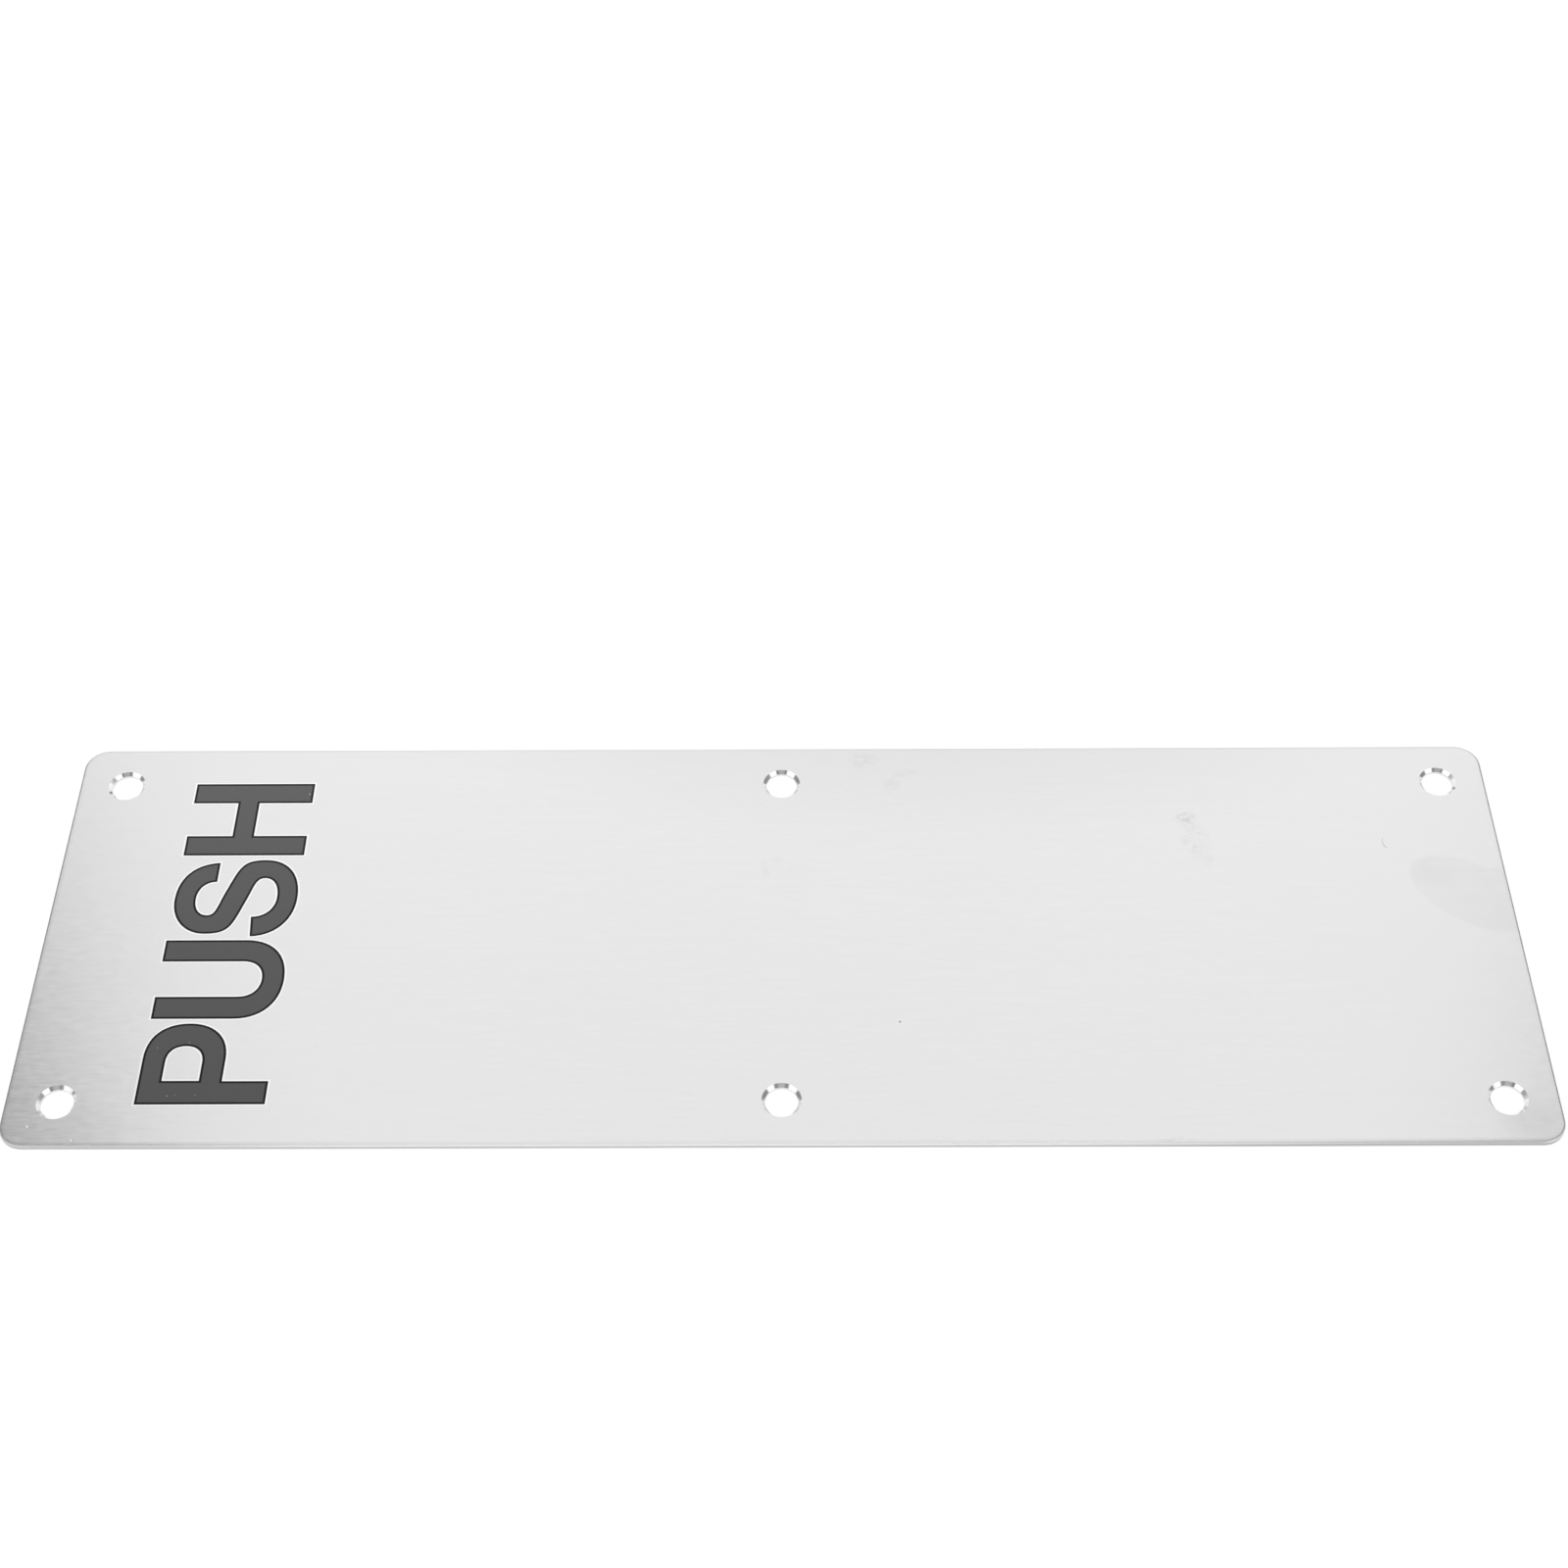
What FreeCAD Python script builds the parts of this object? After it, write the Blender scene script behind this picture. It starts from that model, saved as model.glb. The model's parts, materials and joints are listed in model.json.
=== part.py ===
"""Door finger plate: a flat brushed steel push plate, screwed to the face of a door.

The plate is one piece of sheet, cut with round corners, softened round its front edge and drilled
with two rows of countersunk screw holes. It lies on its back: X runs along its length, Y across its
width, and +Z leaves the front face. The origin is the middle of the back face.
"""

import FreeCAD
import Part
import Sketcher
import os

# Driving dimensions: name in the sheet, value (millimetres, degrees or a count), what it sets.
SIZES = [
    ("plate_length", 300.0, "length of the plate"),
    ("plate_width", 100.0, "width of the plate"),
    ("sheet_thickness", 1.2, "thickness of the sheet"),
    ("corner_radius", 5.0, "round of the four corners, seen from the front"),
    ("front_edge_radius", 0.4, "softening round the rim of the front face"),
    ("screw_end_inset", 10.0, "screw centre to the plate's short edge"),
    ("screw_side_inset", 10.0, "screw centre to the plate's long edge"),
    ("screws_per_row", 3, "screws along each long edge, evenly spaced"),
    ("screw_rows", 2, "rows of screws, one along each long edge"),
    ("screw_hole_diameter", 6.5, "straight hole under the countersink"),
    ("countersink_depth", 0.65, "depth of the countersink below the front face"),
    ("countersink_angle", 90.0, "included angle of the countersink"),
]

# Mouth of the countersink in the front face, from the hole that it widens.
COUNTERSINK_MOUTH = ("Sizes.screw_hole_diameter"
                     " + 2 * Sizes.countersink_depth * tan(Sizes.countersink_angle / 2)")

# Two places closer than this are taken as one, in millimetres.
SAME_PLACE = 1e-6


def make_sheet(doc):
    """The spreadsheet that holds every driving dimension under its own name."""
    sheet = doc.addObject("Spreadsheet::Sheet", "Sizes")
    for row, (name, value, meaning) in enumerate(SIZES, start=1):
        sheet.set(f"A{row}", meaning)
        sheet.set(f"B{row}", str(value))
        sheet.setAlias(f"B{row}", name)
    doc.recompute()
    return sheet


def origin_plane(body, role):
    """One of the body's own origin planes, by its role, such as XY_Plane."""
    return next(f for f in body.Origin.OriginFeatures if f.Role == role)


def flat_sketch(body, name):
    """An empty sketch on the body's XY plane, which is the plate's back face."""
    sketch = body.newObject("Sketcher::SketchObject", name)
    sketch.AttachmentSupport = [(origin_plane(body, "XY_Plane"), "")]
    sketch.MapMode = "FlatFace"
    return sketch


def size_constraint(sketch, name, formula, *geometry):
    """A dimension of the sketch that takes its value from the sheet."""
    index = sketch.addConstraint(Sketcher.Constraint(*geometry))
    sketch.renameConstraint(index, name)
    sketch.setExpression(f"Constraints.{name}", formula)


def outline_sketch(body):
    """The blank's outline: a rectangle centred on the origin."""
    sketch = flat_sketch(body, "Outline")
    ends = [(-1, -1), (1, -1), (1, 1), (-1, 1)]
    for (x, y), (next_x, next_y) in zip(ends, ends[1:] + ends[:1]):
        start = FreeCAD.Vector(x, y, 0)
        sketch.addGeometry(Part.LineSegment(start, FreeCAD.Vector(next_x, next_y, 0)))
    bottom, right, top, left = range(4)
    start, end = 1, 2
    for side, following in ((bottom, right), (right, top), (top, left), (left, bottom)):
        sketch.addConstraint(Sketcher.Constraint("Coincident", side, end, following, start))
    for side in (bottom, top):
        sketch.addConstraint(Sketcher.Constraint("Horizontal", side))
    for side in (right, left):
        sketch.addConstraint(Sketcher.Constraint("Vertical", side))
    origin = (-1, 1)
    sketch.addConstraint(Sketcher.Constraint("Symmetric", bottom, start, top, start, *origin))
    size_constraint(sketch, "length", "Sizes.plate_length",
                    "DistanceX", bottom, start, bottom, end, 2.0)
    size_constraint(sketch, "width", "Sizes.plate_width",
                    "DistanceY", right, start, right, end, 2.0)
    return sketch


def edge_names(feature, wanted):
    """Names of the feature's edges for which wanted(edge) is true."""
    return [f"Edge{n}" for n, edge in enumerate(feature.Shape.Edges, start=1) if wanted(edge)]


def is_upright(edge):
    """True for an edge that runs straight through the sheet, as at a square corner."""
    box = edge.BoundBox
    return box.ZLength > SAME_PLACE and max(box.XLength, box.YLength) < SAME_PLACE


def make_blank(body):
    """The sheet blank: outline cut from the sheet, corners rounded, front rim softened."""
    outline = outline_sketch(body)
    body.Document.recompute()

    blank = body.newObject("PartDesign::Pad", "Blank")
    blank.Profile = outline
    blank.setExpression("Length", "Sizes.sheet_thickness")
    body.Document.recompute()

    corners = body.newObject("PartDesign::Fillet", "Corners")
    corners.Base = (blank, edge_names(blank, is_upright))
    corners.setExpression("Radius", "Sizes.corner_radius")
    body.Document.recompute()

    front = max(edge.BoundBox.ZMin for edge in corners.Shape.Edges)
    rim = body.newObject("PartDesign::Fillet", "FrontRim")
    rim.Base = (corners, edge_names(corners, lambda e: front - e.BoundBox.ZMin < SAME_PLACE))
    rim.setExpression("Radius", "Sizes.front_edge_radius")
    body.Document.recompute()
    return rim


def screw_centre_sketch(body):
    """The first screw hole's circle on the front face, at the corner with the lowest X and Y."""
    sketch = flat_sketch(body, "FirstScrew")
    sketch.setExpression("AttachmentOffset.Base.z", "Sizes.sheet_thickness")
    centre = FreeCAD.Vector(-1, -1, 0)
    circle = sketch.addGeometry(Part.Circle(centre, FreeCAD.Vector(0, 0, 1), 0.5))
    middle, origin = (circle, 3), (-1, 1)
    size_constraint(sketch, "from_middle_x", "Sizes.plate_length / 2 - Sizes.screw_end_inset",
                    "DistanceX", *middle, *origin, 1.0)
    size_constraint(sketch, "from_middle_y", "Sizes.plate_width / 2 - Sizes.screw_side_inset",
                    "DistanceY", *middle, *origin, 1.0)
    size_constraint(sketch, "across", "Sizes.screw_hole_diameter", "Diameter", circle, 1.0)
    return sketch


def drill_screw_holes(body):
    """A countersunk hole through the sheet, repeated in even rows along both long edges."""
    centre = screw_centre_sketch(body)
    body.Document.recompute()

    hole = body.newObject("PartDesign::Hole", "ScrewHole")
    hole.Profile = centre
    body.Document.recompute()
    hole.DepthType = "ThroughAll"
    hole.HoleCutType = "Countersink"
    hole.HoleCutCustomValues = True
    hole.setExpression("Diameter", "Sizes.screw_hole_diameter")
    hole.setExpression("HoleCutDiameter", COUNTERSINK_MOUTH)
    hole.setExpression("HoleCutCountersinkAngle", "Sizes.countersink_angle")
    body.Document.recompute()

    rows = body.newObject("PartDesign::LinearPattern", "ScrewRows")
    rows.Originals = [hole]
    rows.Direction = (centre, ["H_Axis"])
    rows.setExpression("Length", "Sizes.plate_length - 2 * Sizes.screw_end_inset")
    rows.setExpression("Occurrences", "Sizes.screws_per_row")
    rows.Direction2 = (centre, ["V_Axis"])
    rows.setExpression("Length2", "Sizes.plate_width - 2 * Sizes.screw_side_inset")
    rows.setExpression("Occurrences2", "Sizes.screw_rows")
    body.Tip = rows
    body.Document.recompute()
    return rows


def make_finger_plate(doc):
    """The whole plate, as one body."""
    body = doc.addObject("PartDesign::Body", "FingerPlate")
    body.Label = "finger_plate"
    make_blank(body)
    drill_screw_holes(body)
    return body


def check(doc, bodies):
    """Stops with a message if a feature failed or a body is not one sound solid."""
    for item in doc.Objects:
        faults = {"Invalid", "Error"} & set(item.State)
        if faults:
            raise RuntimeError(f"{item.Name} is {', '.join(sorted(faults))}")
    for body in bodies:
        shape = body.Shape
        if shape.isNull() or not shape.isValid() or len(shape.Solids) != 1:
            raise RuntimeError(f"{body.Label} is not one sound solid")


def export(bodies):
    """One STEP file for each body, named by its label."""
    os.makedirs("parts", exist_ok=True)
    for body in bodies:
        body.Shape.exportStep(f"parts/{body.Label}.step")
        box = body.Shape.optimalBoundingBox()
        print(f"{body.Label}: {box.XLength:.2f} x {box.YLength:.2f} x {box.ZLength:.2f} mm, "
              f"{body.Shape.Volume:.1f} mm3, {len(body.Shape.Faces)} faces")


document = FreeCAD.newDocument("DoorFingerPlate")
make_sheet(document)
parts = [make_finger_plate(document)]
document.recompute()
check(document, parts)
export(parts)
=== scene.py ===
"""Looks of the door finger plate: brushed steel, machined countersinks, an enamelled word and the
marks of handling, on a white floor in an even studio.

Lengths are in metres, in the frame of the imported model: X runs along the plate, Y across it, and
+Z leaves its front face.
"""

import json
import math
import bpy
from mathutils import Matrix, Vector


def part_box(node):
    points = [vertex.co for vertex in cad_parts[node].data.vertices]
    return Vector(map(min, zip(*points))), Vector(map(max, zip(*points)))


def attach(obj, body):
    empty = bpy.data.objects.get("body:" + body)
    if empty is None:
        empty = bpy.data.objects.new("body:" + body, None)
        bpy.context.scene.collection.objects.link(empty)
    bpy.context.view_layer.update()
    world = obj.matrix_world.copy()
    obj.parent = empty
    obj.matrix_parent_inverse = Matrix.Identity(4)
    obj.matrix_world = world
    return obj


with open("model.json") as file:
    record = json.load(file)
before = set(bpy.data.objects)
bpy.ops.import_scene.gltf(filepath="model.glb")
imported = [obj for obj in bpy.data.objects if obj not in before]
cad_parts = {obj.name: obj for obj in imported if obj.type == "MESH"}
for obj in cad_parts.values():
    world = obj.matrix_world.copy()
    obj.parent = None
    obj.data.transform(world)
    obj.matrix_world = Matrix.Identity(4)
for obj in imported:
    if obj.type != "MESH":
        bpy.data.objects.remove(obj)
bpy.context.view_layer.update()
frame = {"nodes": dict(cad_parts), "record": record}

MM = 0.001
PLATE = frame["nodes"]["finger_plate"]
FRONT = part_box("finger_plate")[1].z
MOUNTS = {mount["name"]: mount for mount in frame["record"]["mounts"]}
SCREW_SPACING_X = MOUNTS["corner_screws"]["dims"]["spacing_x_mm"] * MM / 2
SCREW_ROW_Y = MOUNTS["corner_screws"]["dims"]["spacing_y_mm"] * MM / 2
HOLE_RADIUS = MOUNTS["corner_screws"]["dims"]["hole_r_mm"] * MM
COUNTERSINK_DEPTH = 0.65 * MM
MOUTH_RADIUS = HOLE_RADIUS + COUNTERSINK_DEPTH
CORNER_RADIUS = 5.0 * MM
RIM_RADIUS = 0.4 * MM
HALF_LENGTH, HALF_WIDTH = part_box("finger_plate")[1].x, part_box("finger_plate")[1].y

# The camera, solved from the plate's outline and screw holes in the photograph.
CAMERA_PLACE = Vector((2.33, -303.40, 405.16)) * MM
CAMERA_FORWARD = Vector((-0.00347, 0.64762, -0.76196))
CAMERA_ROLL = math.radians(-0.423)
SENSOR_WIDTH = 36.0
FOCAL_PIXELS = 2531.8
PHOTO_WIDTH_PIXELS = 1600


class Pattern:
    """Adds nodes to one node tree and links them, so that a pattern reads as a formula."""

    def __init__(self, tree):
        self.nodes = tree.nodes
        self.links = tree.links

    def feed(self, socket, value):
        """Gives a socket a constant, or links it to another node's output."""
        if isinstance(value, bpy.types.NodeSocket):
            self.links.new(value, socket)
        else:
            socket.default_value = value

    def node(self, kind, inputs=(), **settings):
        """A new node with its settings, and its inputs given by name or number."""
        node = self.nodes.new(kind)
        for name, value in settings.items():
            setattr(node, name, value)
        for key, value in dict(inputs).items():
            self.feed(node.inputs[key], value)
        return node

    def math(self, operation, *values, clamp=False):
        node = self.node("ShaderNodeMath", enumerate(values), operation=operation, use_clamp=clamp)
        return node.outputs[0]

    def add(self, first, *others):
        for other in others:
            first = self.math("ADD", first, other)
        return first

    def times(self, first, *others):
        for other in others:
            first = self.math("MULTIPLY", first, other)
        return first

    def minus(self, first, second):
        return self.math("SUBTRACT", first, second)

    def vector(self, operation, *values):
        node = self.node("ShaderNodeVectorMath", enumerate(values), operation=operation)
        return node.outputs["Value" if operation == "LENGTH" else "Vector"]

    def parts(self, vector):
        """The three components of a vector."""
        return self.node("ShaderNodeSeparateXYZ", {0: vector}).outputs

    def joined(self, x, y, z):
        return self.node("ShaderNodeCombineXYZ", {0: x, 1: y, 2: z}).outputs[0]

    def ramp(self, value, low, high, at_low=0.0, at_high=1.0):
        """Moves smoothly from at_low to at_high as value goes from low to high."""
        inputs = {
            "Value": value,
            "From Min": low,
            "From Max": high,
            "To Min": at_low,
            "To Max": at_high,
        }
        return self.node("ShaderNodeMapRange", inputs, interpolation_type="SMOOTHSTEP").outputs[0]

    def mix(self, share, first, second):
        """A number that is first where share is 0 and second where it is 1."""
        inputs = {0: share, 2: first, 3: second}
        return self.node("ShaderNodeMix", inputs, data_type="FLOAT").outputs[0]

    def mix_vectors(self, share, first, second):
        inputs = {0: share, 4: first, 5: second}
        return self.node("ShaderNodeMix", inputs, data_type="VECTOR").outputs[1]

    def noise(self, place, per_metre, detail=2.0, seed=0.0):
        """Noise from -1 to 1, with so many features in a metre along X, Y and Z."""
        stretched = self.vector("MULTIPLY_ADD", place, per_metre, (seed, seed, seed))
        inputs = {"Vector": stretched, "Scale": 1.0, "Detail": detail}
        noise = self.node("ShaderNodeTexNoise", inputs).outputs[0]
        return self.math("MULTIPLY_ADD", noise, 2.0, -1.0)

    def oval(self, place, centre, radii, turn=0.0, rim=0.5):
        """1 inside an oval mark on the front face, falling to 0 over the outer share rim."""
        flat = self.vector("MULTIPLY", place, (1, 1, 0))
        inputs = {
            "Vector": flat,
            "Location": (centre[0] * MM, centre[1] * MM, 0),
            "Rotation": (0, 0, math.radians(turn)),
            "Scale": (radii[0] * MM, radii[1] * MM, 1),
        }
        inside = self.node("ShaderNodeMapping", inputs, vector_type="TEXTURE").outputs[0]
        return self.ramp(self.vector("LENGTH", inside), 1.0 - rim, 1.0, 1.0, 0.0)


def new_material(name):
    """An empty node material: its pattern, its Principled shader and where it reads its place."""
    material = bpy.data.materials.new(name)
    material.use_nodes = True
    material.node_tree.nodes.clear()
    pattern = Pattern(material.node_tree)
    shader = pattern.node("ShaderNodeBsdfPrincipled")
    output = pattern.node("ShaderNodeOutputMaterial")
    pattern.links.new(shader.outputs[0], output.inputs["Surface"])
    place = pattern.node("ShaderNodeTexCoord")
    return material, pattern, shader, place


def bump(pattern, shader, height, distance, lean=None):
    """Raises the surface by up to distance where height is 1, and tilts it by lean."""
    inputs = {"Height": height, "Distance": distance, "Strength": 1.0}
    normal = pattern.node("ShaderNodeBump", inputs).outputs[0]
    if lean is not None:
        normal = pattern.vector("NORMALIZE", pattern.vector("ADD", normal, lean))
    pattern.feed(shader.inputs["Normal"], normal)


# Broad darker patches of the front face: centre, radii, how much they darken the steel.
DARKER_PATCHES = [
    ((32.0, 58.0), (118.0, 40.0), 0.052),
    ((143.5, -45.0), (9.0, 8.0), 0.050),
    ((-136.0, -47.0), (13.0, 9.0), 0.032),
]

# Hand marks on the front face: centre, radii, turn in degrees, and how much they darken the steel.
# Before that last number, the thumb print's parts and tip give the share that is their soft rim.
THUMB_PRINT = [
    ((141.9, 9.9), (14.2, 8.3), -35, 0.12, 0.0242),
    ((147.5, 10.0), (5.6, 7.2), 0, 0.2, 0.0242),
]
THUMB_TIP = ((134.0, 15.5), (9.0, 6.0), -20, 0.9, 0.0190)
FAINT_MARKS = [
    ((85.0, 30.2), (3.2, 2.2), 10, 0.130),
    ((86.0, 28.0), (2.4, 1.8), 0, 0.045),
    ((86.8, 23.5), (3.8, 9.5), 14, 0.034),
    ((88.6, 26.0), (1.6, 1.2), 0, 0.040),
    ((86.2, 22.0), (1.0, 1.6), 0, 0.050),
    ((88.9, 19.0), (1.6, 2.6), 0, 0.025),
    ((84.3, 24.0), (1.4, 2.0), 0, 0.035),
    ((23.5, 39.8), (2.4, 3.6), -20, 0.045),
    ((26.4, 43.0), (3.8, 1.6), 10, 0.045),
    ((17.4, 46.6), (4.2, 3.4), 10, 0.052),
    ((-3.5, 16.6), (1.5, 3.6), 0, 0.038),
    ((-0.8, 19.4), (2.4, 1.2), 0, 0.028),
    ((2.0, 14.5), (8.0, 7.5), 0, 0.010),
    ((75.0, -49.5), (4.5, 1.6), 0, 0.060),
]

# How strongly the skin's ridges show in the thumb print, and what share of a mark is its soft rim.
RIDGE_STRENGTH = 0.45
FAINT_RIM = 0.8
DARKER_PATCH_RIM = 0.85

# How much rougher a mark makes the steel, for how much it darkens it.
MARK_ROUGHNESS = 0.6


def from_screw_hole(p, place):
    """A place seen from the front, counted from the centre of the screw hole nearest to it."""
    x, y, _ = p.parts(place)
    across = p.math("WRAP", x, -SCREW_SPACING_X / 2, SCREW_SPACING_X / 2)
    along = p.times(p.minus(p.math("ABSOLUTE", y), SCREW_ROW_Y), p.math("SIGN", y))
    return p.joined(across, along, 0.0)


def rim_distance(p, place):
    """How far a place is outside the plate's outline, seen from the front. Inside is negative."""
    core = (HALF_LENGTH - CORNER_RADIUS, HALF_WIDTH - CORNER_RADIUS, 0.0)
    reach = p.vector("SUBTRACT", p.vector("ABSOLUTE", place), core)
    reach = p.vector("MULTIPLY", reach, (1.0, 1.0, 0.0))
    past_core = p.vector("LENGTH", p.vector("MAXIMUM", reach, (0.0, 0.0, 0.0)))
    further = p.math("MAXIMUM", *p.parts(reach)[:2])
    return p.add(past_core, p.math("MINIMUM", further, 0.0), -CORNER_RADIUS)


# The steel: its grey, and how far its reflections are drawn out across the brushing.
STEEL_GREY = 0.818
STEEL_ANISOTROPY = 0.889

# How much each layer of the brushing lightens and darkens the steel.
HAIRLINE_STRENGTH = 0.026
STRAND_STRENGTH = 0.010
BAND_STRENGTH = 0.005
CLOUD_STRENGTH = 0.004

# How far the hairlines and the flecks between them tilt the surface along the plate.
HAIRLINE_LEAN = 0.0054
FLECK_LEAN = 0.0076

# How rough each surface of the plate is.
FRONT_ROUGHNESS = 0.2115
COUNTERSINK_ROUGHNESS = 0.11
BORE_ROUGHNESS = 0.30
RIM_ROUGHNESS = 0.36
SIDE_ROUGHNESS = 0.40
BACK_ROUGHNESS = 0.42

# The grey of the turned countersink, its bore, the smooth part of the cut side and the back.
TURNED_GREY = 0.93
BORE_GREY = 0.86
SHEARED_GREY = 0.60
BACK_GREY = 0.70

TURNING_PITCH = 0.09 * MM
RELIEF_HEIGHT = 0.0015 * MM

# The front and the back are where the surface's direction has at least this much of Z.
LEVEL = 0.98

# Leeway where one surface meets another.
SLACK = 0.01 * MM


def plate_surfaces(p, z, radius, facing):
    """Where the front, back, screw holes, bores, sheared side and soft rim are: 1 there, else 0."""
    front = p.math("GREATER_THAN", facing[2], LEVEL)
    back = p.math("LESS_THAN", facing[2], -LEVEL)
    hole = p.times(p.math("LESS_THAN", radius, MOUTH_RADIUS + SLACK), p.minus(1.0, back))
    bore = p.times(hole, p.math("LESS_THAN", z, FRONT - COUNTERSINK_DEPTH - SLACK))
    elsewhere = p.minus(1.0, p.math("MAXIMUM", hole, back))
    side = p.times(p.math("LESS_THAN", z, FRONT - RIM_RADIUS), elsewhere)
    rim = p.times(p.minus(1.0, front), p.minus(1.0, p.math("MAXIMUM", side, hole)))
    return front, back, hole, bore, side, rim


def hand_marks_and_patches(p, place):
    """How much the thumb print, the smudges and the broad darker patches darken the steel."""
    ovals = [p.times(p.oval(place, *shape), depth) for *shape, depth in THUMB_PRINT]
    *tip_shape, tip_depth = THUMB_TIP
    tip = p.math("MULTIPLY_ADD", p.oval(place, *tip_shape), tip_depth / THUMB_PRINT[0][-1], 1.0)
    ridges = p.noise(place, (260, 420, 1), 2.0, 5.0)
    mark = p.times(p.math("MAXIMUM", *ovals), tip)
    mark = p.times(mark, p.math("MULTIPLY_ADD", ridges, RIDGE_STRENGTH, 1.0))
    blots = p.noise(place, (800, 1100, 1), 3.0, 7.0)
    blots = p.ramp(blots, -0.35, 0.3)
    for centre, radii, turn, strength in FAINT_MARKS:
        faint = p.times(p.oval(place, centre, radii, turn, FAINT_RIM), blots, strength)
        mark = p.add(mark, faint)
    for centre, radii, strength in DARKER_PATCHES:
        mark = p.add(mark, p.times(p.oval(place, centre, radii, 0.0, DARKER_PATCH_RIM), strength))
    return mark


def painted_edge_shade(p, place):
    """Painted shade: what the face keeps of its brightness over its last millimetre next to the
    rim, least along the near edge.
    """
    x, y, _ = p.parts(place)
    left_share = p.ramp(y, 10 * MM, 40 * MM, 0.84, 0.94)
    far_share = p.mix(p.ramp(x, -149.5 * MM, -147 * MM), left_share, 0.955)
    near_left_share = p.ramp(x, -130 * MM, -60 * MM, 0.82, 0.94)
    near_right_share = p.ramp(x, 90 * MM, 140 * MM, 1.0, 0.85)
    near_share = p.times(near_left_share, near_right_share)
    share = p.mix(p.ramp(y, -49 * MM, -48 * MM, 1.0, 0.0), far_share, near_share)
    return p.mix(p.ramp(rim_distance(p, place), -1.25 * MM, -0.25 * MM), 1.0, share)


def sheared_grey(p, place):
    """The cut side of the sheet: torn where it broke away at the back, and sheared above that."""
    x, y, z = p.parts(place)
    shear = p.noise(p.joined(p.add(x, y), 0.0, z), (2600, 1, 300), 2.0, 3.0)
    torn = p.ramp(p.math("ABSOLUTE", x), 85 * MM, 140 * MM, 0.59, 0.90)
    uneven_height = p.add(z, p.times(shear, 0.06 * MM))
    grey = p.mix(p.ramp(uneven_height, 0.38 * MM, 0.58 * MM), torn, SHEARED_GREY)
    return p.add(grey, p.times(shear, 0.03))


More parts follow.
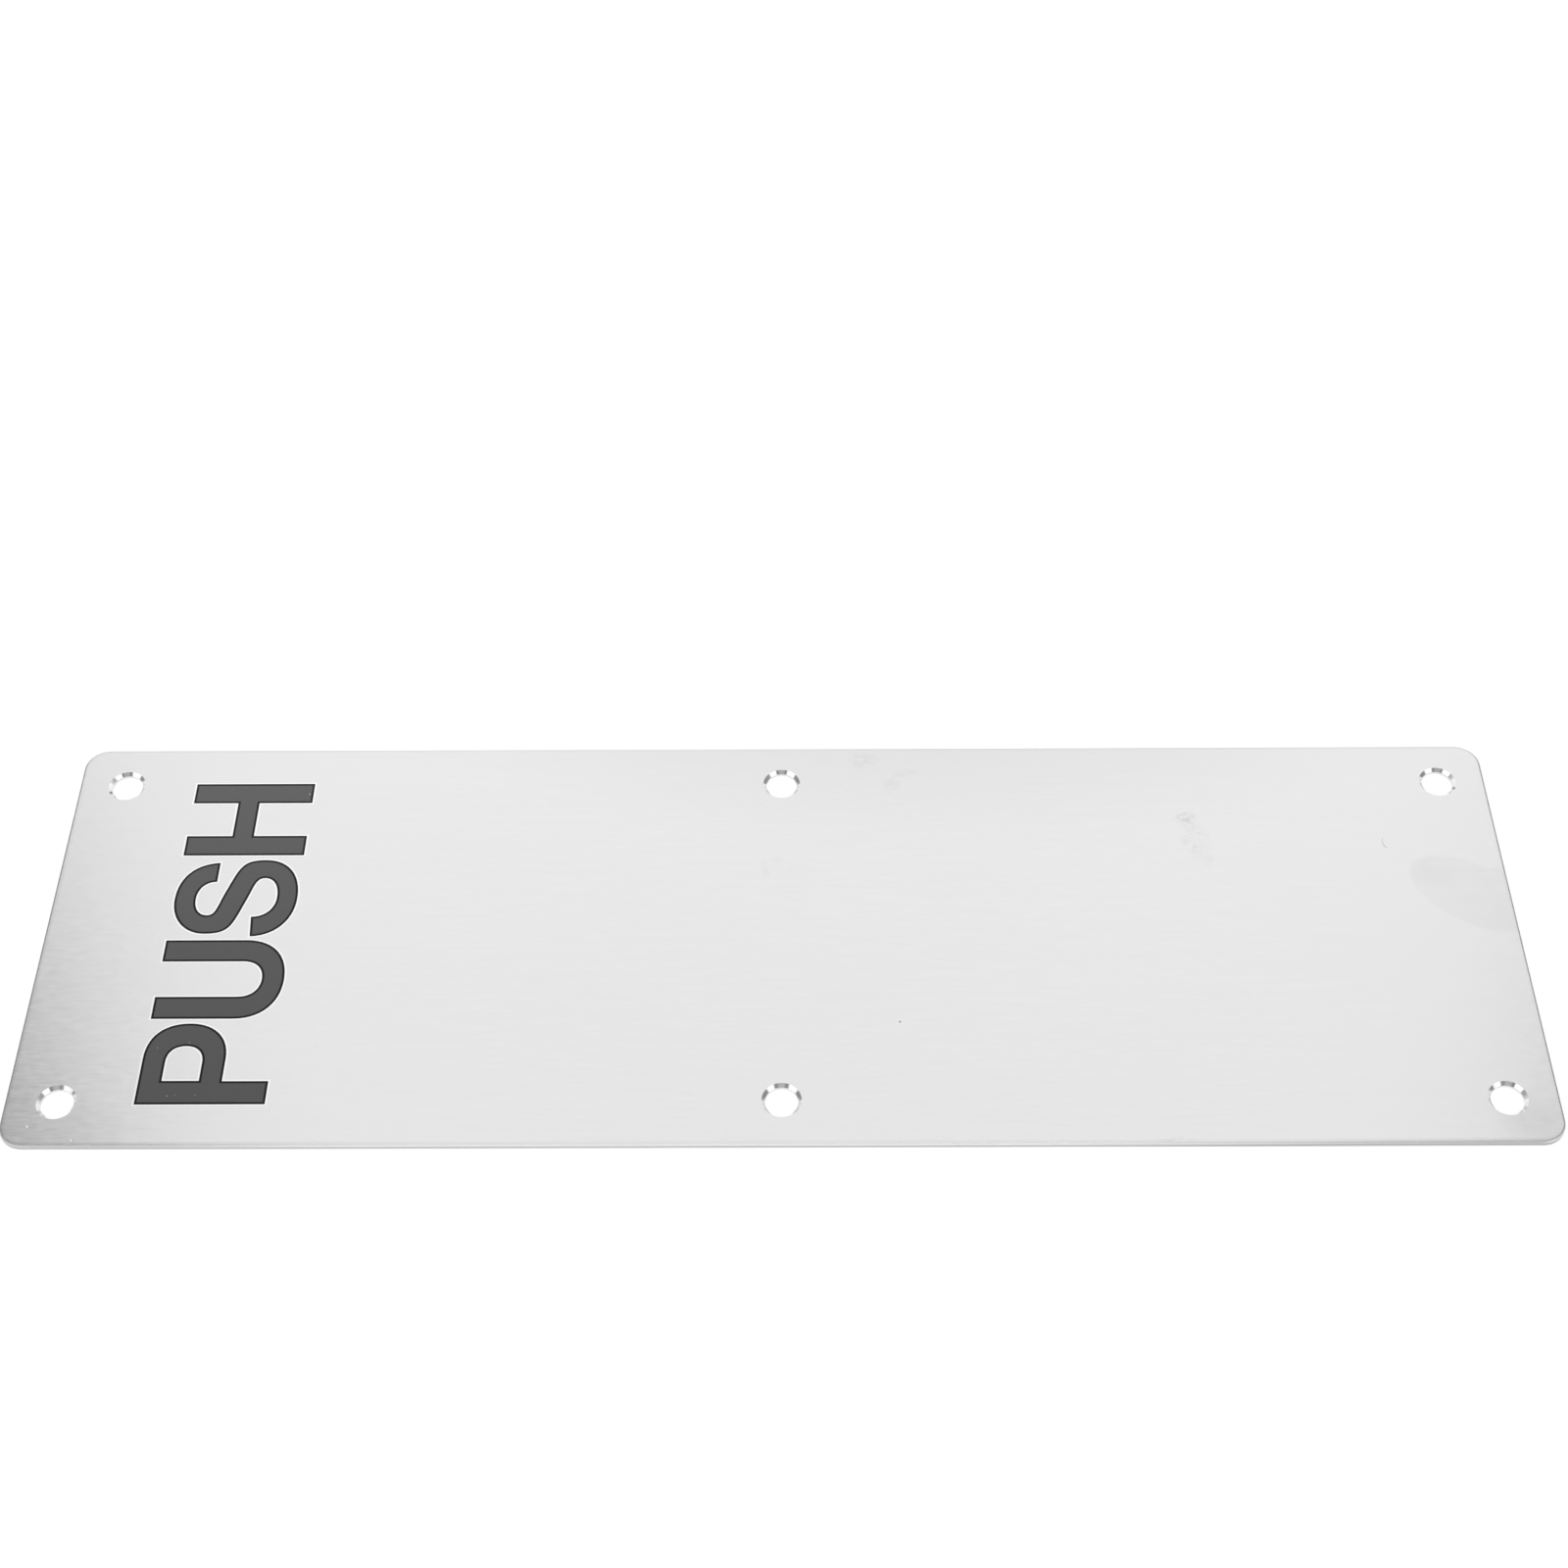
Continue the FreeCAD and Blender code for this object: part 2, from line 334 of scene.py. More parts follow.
def brushed_steel():
    """The plate: satin steel brushed along X, with bright turned countersinks and sheared edges."""
    material, p, shader, source = new_material("brushed_steel_plate")
    place = source.outputs["Object"]
    x, _, z = p.parts(place)
    facing = p.parts(source.outputs["Normal"])
    radial = from_screw_hole(p, place)
    radius = p.vector("LENGTH", radial)
    front, back, hole, bore, side, rim = plate_surfaces(p, z, radius, facing)

    # Brushing: fine hairlines, and broader strands and bands that run the length of the plate.
    hairlines = p.noise(place, (320, 3000, 3000), 2.0)
    strands = p.noise(place, (70, 1100, 1100), 2.0, 4.0)
    bands = p.noise(place, (5, 160, 160), 1.0, 9.0)
    clouds = p.noise(place, (22, 30, 30), 2.0, 2.0)
    brushing = p.add(p.times(hairlines, HAIRLINE_STRENGTH), p.times(strands, STRAND_STRENGTH))
    brushing = p.add(brushing, p.times(bands, BAND_STRENGTH), p.times(clouds, CLOUD_STRENGTH))

    # The grey of the front, which the rim shares, and then of each other surface.
    mark = p.times(hand_marks_and_patches(p, place), front)
    # Painted shade: the front is darker over its last millimetre next to the rim.
    edge_shade_share = p.mix(front, 1.0, painted_edge_shade(p, place))
    brushed = p.times(p.add(brushing, 1.0), p.minus(1.0, mark), edge_shade_share, STEEL_GREY)
    turning = p.math("SINE", p.times(p.minus(radius, z), 2 * math.pi / TURNING_PITCH))
    turned = p.mix(bore, p.math("MULTIPLY_ADD", turning, 0.03, TURNED_GREY), BORE_GREY)
    # Painted shade: the rim and the cut side are darker towards both ends of the plate.
    left_end_shade = p.ramp(x, -135 * MM, -80 * MM, 0.74, 1.0)
    right_end_shade = p.ramp(x, 40 * MM, 148 * MM, 1.0, 0.66)
    painted_end_shade = p.times(right_end_shade, left_end_shade)
    # Painted light and shade: the rim is lighter or darker by which way it faces, along and across
    # the plate.
    painted_light_along = p.ramp(facing[0], -0.35, 0.35, 0.86, 1.16)
    painted_light_across = p.ramp(facing[1], -0.4, 0.4, 1.22, 0.78)
    mill = p.math("MULTIPLY_ADD", p.noise(place, (240, 300, 1), 3.0, 6.0), 0.03, BACK_GREY)
    grey = p.mix(hole, brushed, turned)
    grey = p.mix(rim, grey, p.times(brushed, painted_light_along, painted_light_across, painted_end_shade))
    grey = p.mix(side, grey, p.times(sheared_grey(p, place), painted_end_shade))
    grey = p.mix(back, grey, mill)
    p.feed(shader.inputs["Base Color"], p.joined(grey, grey, grey))

    # Marks dull the front a little, and each other surface has its own finish.
    roughness = p.add(FRONT_ROUGHNESS, p.times(hairlines, 0.03), p.times(mark, MARK_ROUGHNESS))
    roughness = p.mix(hole, roughness, p.mix(bore, COUNTERSINK_ROUGHNESS, BORE_ROUGHNESS))
    roughness = p.mix(rim, roughness, RIM_ROUGHNESS)
    roughness = p.mix(side, roughness, SIDE_ROUGHNESS)
    roughness = p.mix(back, roughness, BACK_ROUGHNESS)
    p.feed(shader.inputs["Roughness"], roughness)
    shader.inputs["Metallic"].default_value = 1.0
    shader.inputs["Anisotropic"].default_value = STEEL_ANISOTROPY

    # Reflections spread across the brushing, and across the turning marks in a countersink.
    slope = p.joined(p.parts(radial)[0], p.parts(radial)[1], radius)
    spread = p.mix_vectors(hole, (0.0, 1.0, 0.0), p.vector("NORMALIZE", slope))
    along_edge = p.vector("CROSS_PRODUCT", source.outputs["Normal"], (0.0, 0.0, 1.0))
    spread = p.mix_vectors(side, spread, along_edge)
    to_world = p.node("ShaderNodeVectorTransform", {0: spread}, vector_type="VECTOR",
                      convert_from="OBJECT", convert_to="WORLD")
    p.feed(shader.inputs["Tangent"], to_world.outputs[0])

    # The brushing and the turning marks stand up a little, and the brushed steel isn't quite flat.
    relief = p.mix(hole, p.add(hairlines, p.times(strands, 0.6)), p.times(turning, 0.4))
    flecks = p.noise(place, (420, 700, 900), 2.0, 6.0)
    lean = p.add(p.times(hairlines, HAIRLINE_LEAN), p.times(flecks, FLECK_LEAN))
    lean = p.times(lean, p.minus(1.0, hole))
    bump(p, shader, relief, RELIEF_HEIGHT, p.joined(lean, 0.0, 0.0))
    return material


# The bare metal round the letters and in the pits.
MARGIN_GREY = 0.985
MARGIN_ROUGHNESS = 0.20
MARGIN_RELIEF = 0.0005 * MM

# The enamel, whose grey is painted lighter over the length of the word: painted light, as more
# light falls towards its far end.
ENAMEL_RELIEF = 0.001 * MM
WORD_LENGTH = 80 * MM


def enamel(name, grey, painted_lightening=0.0, roughness=0.42, shine=0.35):
    """Satin enamel, grey at the start of the word and painted lighter by so much at its end, as
    painted light.
    """
    material, p, shader, source = new_material(name)
    place = source.outputs["Object"]
    y = p.parts(place)[1]
    mottle = p.noise(place, (900, 900, 1), 3.0, 1.0)
    grain = p.noise(place, (60, 3800, 1), 2.0, 8.0)
    along_word = p.math("MULTIPLY_ADD", y, 1 / WORD_LENGTH, 0.5, clamp=True)
    tone = p.math("MULTIPLY_ADD", p.math("POWER", along_word, 1.4), painted_lightening, grey)
    tone = p.times(tone, p.add(1.0, p.times(mottle, 0.03), p.times(grain, 0.03)))
    p.feed(shader.inputs["Base Color"], p.joined(tone, tone, tone))
    p.feed(shader.inputs["Roughness"], p.math("MULTIPLY_ADD", mottle, 0.04, roughness))
    shader.inputs["Specular IOR Level"].default_value = shine
    bump(p, shader, p.add(mottle, grain), ENAMEL_RELIEF)
    return material


def polished_margin():
    """Bare bright metal along the brushing, polished where the mask for the enamel lay."""
    material, p, shader, source = new_material("polished_margin")
    hairlines = p.noise(source.outputs["Object"], (60, 4000, 1), 2.0, 2.0)
    grey = p.add(MARGIN_GREY, p.times(hairlines, 0.01))
    p.feed(shader.inputs["Base Color"], p.joined(grey, grey, grey))
    p.feed(shader.inputs["Roughness"], p.add(MARGIN_ROUGHNESS, p.times(hairlines, 0.03)))
    shader.inputs["Metallic"].default_value = 1.0
    shader.inputs["Anisotropic"].default_value = STEEL_ANISOTROPY
    p.feed(shader.inputs["Tangent"], p.joined(0.0, 1.0, 0.0))
    bump(p, shader, hairlines, MARGIN_RELIEF)
    return material


# The word stands across the left end and reads towards +Y, with the tops of its letters towards -X.
# Letters are drawn in millimetres: u along the line of the word, v up from its baseline.
BASELINE_X = -99.8
CAP_HEIGHT = 25.1
STEM = 5.2
BAR = 4.4
CURVE_STEPS = 14

# How far a curve's handles reach along its chord, where 0.5523 gives a quarter of a circle.
ROUND = 0.5523

# How far the wet enamel flows past the edge of its mask.
ENAMEL_SPREAD = 0.05 * MM

# Places on an outline that are closer than this are one.
SAME_PLACE = 1e-7


class Loop:
    """A closed outline of straight runs and smooth curves."""

    def __init__(self, u, v):
        self.points = [(u, v)]

    def to(self, *places):
        """Straight runs to each place in turn."""
        self.points.extend(places)
        return self

    def curve(self, end, leaving, arriving, pull=ROUND):
        """A cubic curve to end that leaves and arrives at these angles, in degrees."""
        start = Vector(self.points[-1])
        end = Vector(end)
        chord = end - start
        out = Vector((math.cos(math.radians(leaving)), math.sin(math.radians(leaving))))
        into = Vector((math.cos(math.radians(arriving)), math.sin(math.radians(arriving))))
        first = start + out * chord.dot(out) * pull
        second = end - into * chord.dot(into) * pull
        for step in range(1, CURVE_STEPS + 1):
            t = step / CURVE_STEPS
            s = 1 - t
            point = start * s ** 3 + first * 3 * s * s * t + second * 3 * s * t * t + end * t ** 3
            self.points.append(tuple(point))
        return self


def letter_p():
    """P: a stem and a half-round bowl with a half-round counter."""
    width, bowl_foot, straight, full = 18.8, 8.95, 10.6, 0.60
    bowl_middle = (CAP_HEIGHT + bowl_foot) / 2
    outer = Loop(0, -0.1).to((STEM, -0.1), (STEM, bowl_foot), (straight, bowl_foot))
    outer.curve((width, bowl_middle), 0, 90, full).curve((straight, CAP_HEIGHT), 90, 180, 0.64)
    outer.to((0, CAP_HEIGHT))
    low, high, inner_straight, inner_width = bowl_foot + 4.4, CAP_HEIGHT - BAR, 9.7, 13.55
    counter = Loop(STEM + 0.1, low).to((STEM + 0.1, high), (inner_straight, high))
    counter.curve((inner_width, bowl_middle), 0, -90, 0.64)
    counter.curve((inner_straight, low), -90, 180, full)
    return [outer.points, counter.points]


def letter_u():
    """U: two stems joined by a round foot."""
    width, spring, full = 19.25, 8.8, 0.615
    middle = width / 2
    outer = Loop(0, CAP_HEIGHT).to((0, spring)).curve((middle, 0), -90, 0, full)
    outer.curve((width, spring), 0, 90, full)
    outer.to((width, CAP_HEIGHT), (width - STEM, CAP_HEIGHT), (width - STEM, spring))
    outer.curve((middle, BAR), -90, 180, full).curve((STEM, spring), 180, 90, full)
    outer.to((STEM, CAP_HEIGHT))
    return [outer.points]


def letter_s():
    """S: two bowls joined by a sloping spine, its ends cut across."""
    outer = Loop(18.9, 17.1)
    outer.curve((9.4, 25.1), 94, 180, 0.60).curve((0.6, 17.8), 180, -90, 0.57)
    outer.curve((8.3, 10.66), -90, -17, 0.68).curve((14.95, 7.2), -19, -90, 0.6)
    outer.curve((9.9, 4.07), -90, 180, 0.6).curve((4.8, 8.75), 180, 90, 0.6).to((-0.1, 8.35))
    outer.curve((9.8, -0.05), -88, 0, 0.585).curve((19.6, 7.6), 0, 90, 0.61)
    outer.curve((11.25, 14.86), 90, 162, 0.68).curve((5.2, 17.9), 162, 90, 0.6)
    outer.curve((9.5, 20.85), 90, 0, 0.6).curve((14.0, 17.1), 0, -90, 0.6)
    return [outer.points]


def letter_h():
    """H: two stems and a crossbar."""
    width, bar_foot = 19.42, 11.2
    left, right, bar_head = STEM - 0.1, width - STEM, bar_foot + BAR
    outer = Loop(0, 0).to((left, 0), (left, bar_foot), (right, bar_foot), (right, 0), (width, 0))
    outer.to((width, CAP_HEIGHT), (right, CAP_HEIGHT), (right, bar_head), (left, bar_head))
    outer.to((left, CAP_HEIGHT), (0, CAP_HEIGHT))
    return [outer.points]


# Each letter: its name, how it is drawn, and where it starts along the word.
WORD = [
    ("p", letter_p, -40.6),
    ("u", letter_u, -20.53),
    ("s", letter_s, -0.1),
    ("h", letter_h, 20.9),
]


def corner_stretch(before, here, after):
    """How much further a strip's edge lies from a corner than from a straight run."""
    turn = (here - before).angle(after - here)
    return 1 / math.cos(turn / 2)


def spread(places, width):
    """The outline moved outwards by a width, as the wet enamel flows over its mask."""
    grown = []
    for n, here in enumerate(places):
        before, after = places[n - 1], places[(n + 1) % len(places)]
        along = ((here - before).normalized() + (after - here).normalized()).normalized()
        outwards = Vector((along.y, -along.x))
        grown.append(here + outwards * width * corner_stretch(before, here, after))
    return grown


def outline_curve(name, loops, line_y):
    """Letter outlines as a flat curve. Each corner's radius keeps a strip's width round it."""
    curve = bpy.data.curves.new(name, "CURVE")
    curve.dimensions = "2D"
    for loop in loops:
        places = [Vector(((BASELINE_X - v) * MM, (line_y + u) * MM)) for u, v in loop]
        neighbours = zip(places, places[-1:] + places[:-1])
        places = [here for here, last in neighbours if (here - last).length > SAME_PLACE]
        places = spread(places, ENAMEL_SPREAD)
        spline = curve.splines.new("POLY")
        spline.points.add(len(places) - 1)
        spline.use_cyclic_u = True
        for n, here in enumerate(places):
            after = places[(n + 1) % len(places)]
            spline.points[n].co = (here.x, here.y, 0, 1)
            spline.points[n].radius = corner_stretch(places[n - 1], here, after)
    piece = bpy.data.objects.new(name, curve)
    bpy.context.scene.collection.objects.link(piece)
    return piece


class Tree(Pattern):
    """A Geometry Nodes tree with named inputs."""

    def __init__(self, name):
        self.group = bpy.data.node_groups.new(name, "GeometryNodeTree")
        super().__init__(self.group)
        for in_out in ("INPUT", "OUTPUT"):
            kind = "NodeSocketGeometry"
            self.group.interface.new_socket("Geometry", in_out=in_out, socket_type=kind)
        self.given = self.nodes.new("NodeGroupInput")
        self.result = self.nodes.new("NodeGroupOutput")
        self.sockets = {}

    def size(self, name, value):
        """A named length, as an input of the tree."""
        return self.named(name, "NodeSocketFloat", value)

    def named(self, name, kind, value=None):
        item = self.group.interface.new_socket(name, in_out="INPUT", socket_type=kind)
        if value is not None:
            item.default_value = value
        self.sockets[name] = item.identifier
        return self.given.outputs[name]

    def shape(self, kind, inputs=(), **settings):
        return self.node(kind, inputs, **settings).outputs[0]

    def finish(self, geometry, material):
        """Ends the tree in plain geometry with its material."""
        real = self.shape("GeometryNodeRealizeInstances", {0: geometry})
        painted = self.shape("GeometryNodeSetMaterial", {"Geometry": real, "Material": material})
        self.feed(self.result.inputs[0], painted)


def raised_film():
    """Fills an outline and gives it a thickness: the enamel of a letter."""
    tree = Tree("raised_film")
    floor = tree.size("Floor", 0.0)
    thickness = tree.size("Thickness", 0.0)
    material = tree.named("Material", "NodeSocketMaterial")
    under = tree.shape("GeometryNodeFillCurve", {0: tree.given.outputs[0]}, mode="NGONS")
    lift = tree.joined(0.0, 0.0, floor)
    under = tree.shape("GeometryNodeSetPosition", {"Geometry": under, "Offset": lift})
    rise = tree.joined(0.0, 0.0, thickness)
    inputs = {"Mesh": under, "Offset": rise, "Offset Scale": 1.0, "Individual": False}
    upper = tree.shape("GeometryNodeExtrudeMesh", inputs, mode="FACES")
    base = tree.shape("GeometryNodeFlipFaces", {0: under})
    join = tree.node("GeometryNodeJoinGeometry")
    tree.feed(join.inputs[0], upper)
    tree.feed(join.inputs[0], base)
    inputs = {"Geometry": join.outputs[0], "Distance": SAME_PLACE}
    tree.finish(tree.shape("GeometryNodeMergeByDistance", inputs), material)
    return tree


def edge_strip():
    """Runs a flat strip along an outline: from Inner to Outer, measured outwards from the line."""
    tree = Tree("edge_strip")
    floor = tree.size("Floor", 0.0)
    inner = tree.size("Inner", 0.0)
    outer = tree.size("Outer", 0.0)
    thickness = tree.size("Thickness", 0.0)
    material = tree.named("Material", "NodeSocketMaterial")
    width = tree.minus(outer, inner)
    inputs = {"Width": width, "Height": thickness}
    strip = tree.shape("GeometryNodeCurvePrimitiveQuadrilateral", inputs)
    middle = tree.joined(tree.times(tree.add(outer, inner), 0.5), tree.times(thickness, -0.5), 0.0)
    strip = tree.shape("GeometryNodeSetPosition", {"Geometry": strip, "Offset": middle})
    stretch = tree.shape("GeometryNodeInputRadius")
    inputs = {"Curve": tree.given.outputs[0], "Profile Curve": strip, "Scale": stretch}
    run = tree.shape("GeometryNodeCurveToMesh", inputs)
    lift = tree.joined(0.0, 0.0, floor)
    run = tree.shape("GeometryNodeSetPosition", {"Geometry": run, "Offset": lift})
    run = tree.shape("GeometryNodeSetShadeSmooth", {"Geometry": run, "Shade Smooth": False})
    tree.finish(run, material)
    return tree


def fibre():
    """A thin round thread along a curve."""
    tree = Tree("fibre")
    radius = tree.size("Radius", 0.0)
    material = tree.named("Material", "NodeSocketMaterial")
    ring = tree.shape("GeometryNodeCurvePrimitiveCircle", {"Resolution": 8, "Radius": radius})
    inputs = {"Curve": tree.given.outputs[0], "Profile Curve": ring, "Fill Caps": True}
    tree.finish(tree.shape("GeometryNodeCurveToMesh", inputs), material)
    return tree


def grains():
    """A rounded grain of dust at each point of a mesh, as wide as the point's own size."""
    tree = Tree("grains")
    squash = tree.size("Flatness", 1.0)
    material = tree.named("Material", "NodeSocketMaterial")
    grain = tree.shape("GeometryNodeMeshIcoSphere", {"Radius": 1.0, "Subdivisions": 2})
    flat = tree.joined(1.0, 1.0, squash)
    grain = tree.shape("GeometryNodeTransform", {"Geometry": grain, "Scale": flat})
    points = tree.shape("GeometryNodeMeshToPoints", {"Mesh": tree.given.outputs[0]})
    inputs = {"Name": "size"}
    size = tree.shape("GeometryNodeInputNamedAttribute", inputs, data_type="FLOAT")
    inputs = {"Points": points, "Instance": grain, "Scale": size}
    placed = tree.shape("GeometryNodeInstanceOnPoints", inputs)
    tree.finish(placed, material)
    return tree


def shaped(source, tree, name, **inputs):
    """Runs a tree on a source object and keeps the result as a plain mesh."""
    modifier = source.modifiers.new(tree.group.name, "NODES")
    modifier.node_group = tree.group
    for key, value in inputs.items():
        modifier[tree.sockets[key]] = value
    bpy.context.view_layer.update()
    evaluated = source.evaluated_get(bpy.context.evaluated_depsgraph_get())
    mesh = bpy.data.meshes.new_from_object(evaluated)
    source.modifiers.remove(modifier)
    empty_slots = [n for n, material in enumerate(mesh.materials) if material is None]
    for slot in reversed(empty_slots):
        mesh.materials.pop(index=slot)
    piece = bpy.data.objects.new(name, mesh)
    bpy.context.scene.collection.objects.link(piece)
    mesh.name = name
    return piece


def fasten(piece):
    """The piece moves with the plate."""
    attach(piece, "root")


# The enamel, the bare margin outside its edge and the thicker bead along the edge.
FILM_THICKNESS = 0.03 * MM
MARGIN_THICKNESS = 0.012 * MM
MARGIN_WIDTH = 0.36 * MM
EDGE_BEAD_WIDTH = 0.46 * MM
EDGE_BEAD_THICKNESS = 0.006 * MM


def print_word():
    """Each letter: its dark enamel, the bright margin round it, and the enamel's thick edge."""
    film, strip = raised_film(), edge_strip()
    # Painted light: the dark enamel and its edge are painted lighter towards the far end of the
    # word.
    dark = enamel("dark_enamel", 0.0970, 0.0410)
    edge = enamel("enamel_edge", 0.004, 0.008, shine=0.24)
    bright = polished_margin()
    for name, draw, line_y in WORD:
        outline = outline_curve("outline_" + name, draw(), line_y)
        letter = shaped(outline, film, "letter_" + name, Floor=FRONT,
                        Thickness=FILM_THICKNESS, Material=dark)
        margin = shaped(outline, strip, "letter_margin_" + name, Floor=FRONT, Inner=0.0,
                        Outer=MARGIN_WIDTH, Thickness=MARGIN_THICKNESS, Material=bright)
        bead = shaped(outline, strip, "letter_edge_" + name, Floor=FRONT + FILM_THICKNESS,
                      Inner=-EDGE_BEAD_WIDTH, Outer=0.0, Thickness=EDGE_BEAD_THICKNESS,
                      Material=edge)
        for piece in (letter, margin, bead):
            fasten(piece)
        bpy.data.objects.remove(outline)


# Specks of dust on the front face: x, y and radius in millimetres.
DARK_DUST = [(23.4, -21.8, 0.17), (-81.5, -24.6, 0.07), (-91.3, -27.2, 0.06)]
LIGHT_DUST = [
    (-100.6, 37.5, 0.16), (-118.9, -38.7, 0.10), (-117.4, -38.5, 0.07), (-113.4, -38.5, 0.08),
    (-116.4, -26.3, 0.09), (-122.5, -27.5, 0.09), (-117.3, 38.9, 0.08),
]
BRIGHT_PITS = [(-3.6, 34.4, 0.20), (-144.6, -45.6, 0.22), (-135.6, -48.7, 0.18)]

# How high a speck is for its width.
SPECK_FLATNESS = 0.3


def specks(name, places, height, material, tree):
    """Flat grains at these places, on the plate or on the letters."""
    mesh = bpy.data.meshes.new(name)
    mesh.from_pydata([(x * MM, y * MM, FRONT + height) for x, y, _ in places], [], [])
    sizes = mesh.attributes.new("size", "FLOAT", "POINT")
    sizes.data.foreach_set("value", [radius * MM for _, _, radius in places])
    points = bpy.data.objects.new(name + "_points", mesh)
    bpy.context.scene.collection.objects.link(points)
    piece = shaped(points, tree, name, Flatness=SPECK_FLATNESS, Material=material)
    bpy.data.objects.remove(points)
    fasten(piece)


def scatter_dust():
    """Dark dust and bright pits on the steel, and pale dust on the letters and beside them."""
    grain_tree = grains()
    dark = enamel("dark_dust", 0.08, roughness=0.6)
    specks("dark_dust", DARK_DUST, 0.0, dark, grain_tree)
    pale = enamel("light_dust", 0.72, roughness=0.6)
    specks("light_dust", LIGHT_DUST, FILM_THICKNESS, pale, grain_tree)
    specks("bright_pits", BRIGHT_PITS, 0.0, polished_margin(), grain_tree)


# A fibre of lint on the front face, in millimetres.
LINT = [(125.9, 24.5), (125.7, 24.0), (125.65, 23.4), (125.7, 22.8), (125.95, 22.3), (126.3, 22.0)]
LINT_RADIUS = 0.035 * MM


def lay_lint():
    """One curled fibre that rests on the steel."""
    curve = bpy.data.curves.new("lint", "CURVE")
    curve.dimensions = "3D"
    spline = curve.splines.new("NURBS")
    spline.points.add(len(LINT) - 1)
    spline.use_endpoint_u = True
    for point, (x, y) in zip(spline.points, LINT):
        point.co = (x * MM, y * MM, FRONT + LINT_RADIUS * 0.8, 1)
    path = bpy.data.objects.new("lint_path", curve)
    bpy.context.scene.collection.objects.link(path)
    pale = enamel("lint", 0.55, roughness=0.6)
    lint = shaped(path, fibre(), "lint", Radius=LINT_RADIUS, Material=pale)
    bpy.data.objects.remove(path)
    fasten(lint)


def seen_white(p, strength, in_metal):
    """The strength that the camera sees, a share of it in metal or glass, and 0 for the rest."""
    ray = p.node("ShaderNodeLightPath").outputs
    mirrored = p.math("MAXIMUM", ray["Is Glossy Ray"], ray["Is Transmission Ray"])
    seen = p.math("MAXIMUM", ray["Is Camera Ray"], p.times(mirrored, in_metal))
    return p.times(seen, strength)


# The floor lies a hair below the plate. Part of its white is its own glow, and the rest is lit.
FLOOR_REACH = 3.0
FLOOR_HEIGHT = -0.05 * MM
FLOOR_LIT_GREY = 0.45
FLOOR_GLOW = 0.72

# The share of the glow that metal mirrors where the floor lies in the shade of a screw hole.
HOLE_SHADE = 0.40


def studio_floor():
    """A white floor that keeps a soft shadow of the plate, with shade inside the screw holes."""
    mesh = bpy.data.meshes.new("floor")
    turns = [(-1, -1), (1, -1), (1, 1), (-1, 1)]
    corners = [(x * FLOOR_REACH, y * FLOOR_REACH, FLOOR_HEIGHT) for x, y in turns]
    mesh.from_pydata(corners, [], [(0, 1, 2, 3)])
    floor = bpy.data.objects.new("floor", mesh)
    bpy.context.scene.collection.objects.link(floor)
    material = bpy.data.materials.new("white_floor")
    material.use_nodes = True
    material.node_tree.nodes.clear()
    p = Pattern(material.node_tree)
    lit = p.node("ShaderNodeBsdfDiffuse", {"Color": (FLOOR_LIT_GREY,) * 3 + (1,)})
    place = p.node("ShaderNodeTexCoord").outputs["Object"]
    in_hole = from_screw_hole(p, place)
    in_shade = p.ramp(p.vector("LENGTH", in_hole), 2.3 * MM, 2.8 * MM, 1.0, 0.0)
    in_shade = p.times(in_shade, p.ramp(p.parts(in_hole)[1], -1.4 * MM, -0.2 * MM))
    under_plate = p.math("LESS_THAN", p.math("ABSOLUTE", p.parts(place)[0]), HALF_LENGTH)
    in_metal = p.mix(p.times(in_shade, under_plate), 1.0, HOLE_SHADE)
    white = seen_white(p, FLOOR_GLOW, in_metal)
    glow = p.node("ShaderNodeEmission", {"Color": (1, 1, 1, 1), "Strength": white})
    both = p.node("ShaderNodeAddShader", {0: lit.outputs[0], 1: glow.outputs[0]})
    output = p.node("ShaderNodeOutputMaterial")
    p.links.new(both.outputs[0], output.inputs["Surface"])
    mesh.materials.append(material)


# The tent's white dims with height at this rate, from what it would be at the horizon.
# It is even below the low height and above the high one.
TENT_WHITE = 1.621
TENT_FALL = 0.790
TENT_LOW, TENT_HIGH = 0.45, 0.89


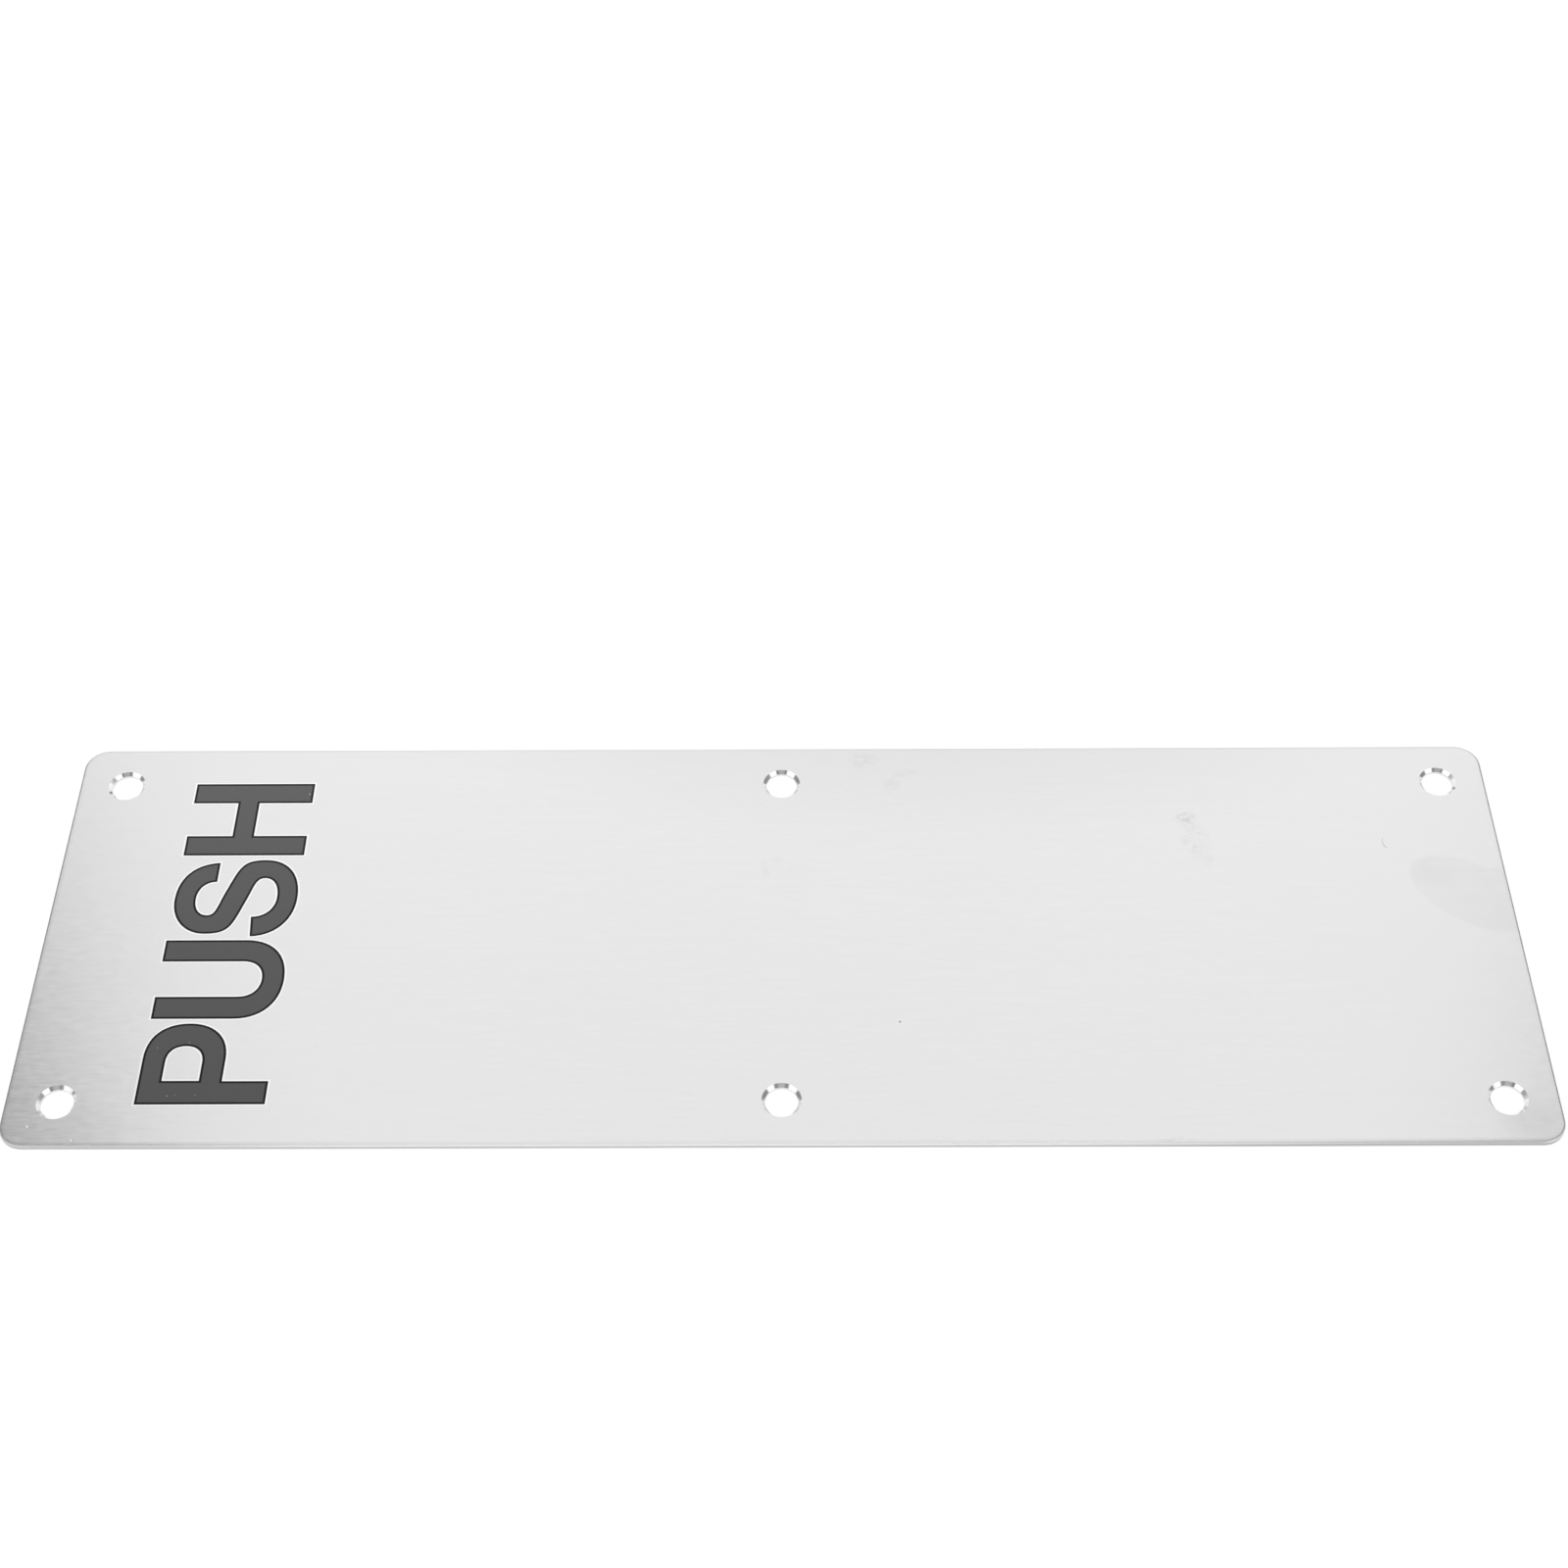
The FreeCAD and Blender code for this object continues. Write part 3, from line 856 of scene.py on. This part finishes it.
def dark_surroundings(p, direction):
    """How dark the tent is in a direction: 0 on its white cloth, and up to 1 off it."""
    x, y, z = p.parts(direction)
    aside = p.math("ABSOLUTE", x)

    # High up behind the plate, past both ends of the soft box.
    behind = p.times(p.ramp(y, 0.08, 0.28), p.ramp(z, 0.42, 0.56))
    left_end = p.times(p.ramp(p.minus(p.times(z, 0.468), x), 0.663, 0.674), behind, 0.93)
    right_end = p.times(p.ramp(p.add(p.times(z, 0.350), x), 0.583, 0.620), behind)

    # Low down at both sides, wider near the ground.
    near_ground = p.times(p.ramp(aside, 0.45, 0.65), p.ramp(z, 0.02, 0.16, 1.0, 0.0))
    sides = p.math("MAXIMUM", p.ramp(aside, 0.72, 0.84), near_ground)
    sides = p.times(sides, p.ramp(p.math("MULTIPLY_ADD", x, 0.07, y), -0.26, -0.12))
    low = p.ramp(p.math("MULTIPLY_ADD", y, 0.62, z), 0.54, 0.64, 1.0, 0.0)
    low_sides = p.times(sides, low, 0.72)

    # The opening in front, where the camera looks in.
    opening_x = p.ramp(p.math("MULTIPLY_ADD", z, 0.86, aside), 0.94, 1.0, 1.0, 0.0)
    opening_z = p.times(p.ramp(z, 0.40, 0.46), p.ramp(z, 0.82, 0.88, 1.0, 0.0))
    core = p.ramp(aside, 0.16, 0.34, 0.62, 0.80)
    opening = p.times(opening_x, opening_z, p.ramp(y, -0.3, -0.2, 1.0, 0.0), core)

    ends = p.math("MAXIMUM", left_end, right_end)
    return p.math("MAXIMUM", ends, p.math("MAXIMUM", low_sides, opening))


def studio_world():
    """A white tent, brighter low down but dim near the ground, with dark places round it."""
    world = bpy.data.worlds.new("studio")
    world.use_nodes = True
    world.node_tree.nodes.clear()
    p = Pattern(world.node_tree)
    direction = p.node("ShaderNodeTexCoord").outputs["Generated"]
    z = p.parts(direction)[2]
    dark = dark_surroundings(p, direction)
    height = p.math("MINIMUM", p.math("MAXIMUM", z, TENT_LOW), TENT_HIGH)
    fabric = p.math("MULTIPLY_ADD", height, -TENT_FALL, TENT_WHITE)
    tent = p.times(fabric, p.ramp(z, 0.22, 0.48, 0.76, 1.0), p.minus(1.0, dark))
    is_camera = p.node("ShaderNodeLightPath").outputs["Is Camera Ray"]
    strength = p.mix(is_camera, tent, 1.0)
    background = p.node("ShaderNodeBackground", {"Color": (1, 1, 1, 1), "Strength": strength})
    output = p.node("ShaderNodeOutputWorld")
    p.links.new(background.outputs[0], output.inputs["Surface"])
    bpy.context.scene.world = world


def studio_camera():
    """The camera at the photograph's place and angle."""
    data = bpy.data.cameras.new("camera")
    data.sensor_width = SENSOR_WIDTH
    data.lens = FOCAL_PIXELS / PHOTO_WIDTH_PIXELS * SENSOR_WIDTH
    data.clip_start = 0.01
    camera = bpy.data.objects.new("camera", data)
    bpy.context.scene.collection.objects.link(camera)
    forward = CAMERA_FORWARD.normalized()
    level = forward.cross(Vector((0, 0, 1))).normalized()
    right = level * math.cos(CAMERA_ROLL) + level.cross(forward) * math.sin(CAMERA_ROLL)
    up = right.cross(forward)
    turn = Matrix((right, up, -forward)).transposed()
    camera.matrix_world = Matrix.Translation(CAMERA_PLACE) @ turn.to_4x4()
    bpy.context.scene.camera = camera


PLATE.material_slots[0].material = brushed_steel()
print_word()
scatter_dust()
lay_lint()
studio_floor()
studio_world()
studio_camera()
bpy.context.scene.view_settings.view_transform = "Standard"
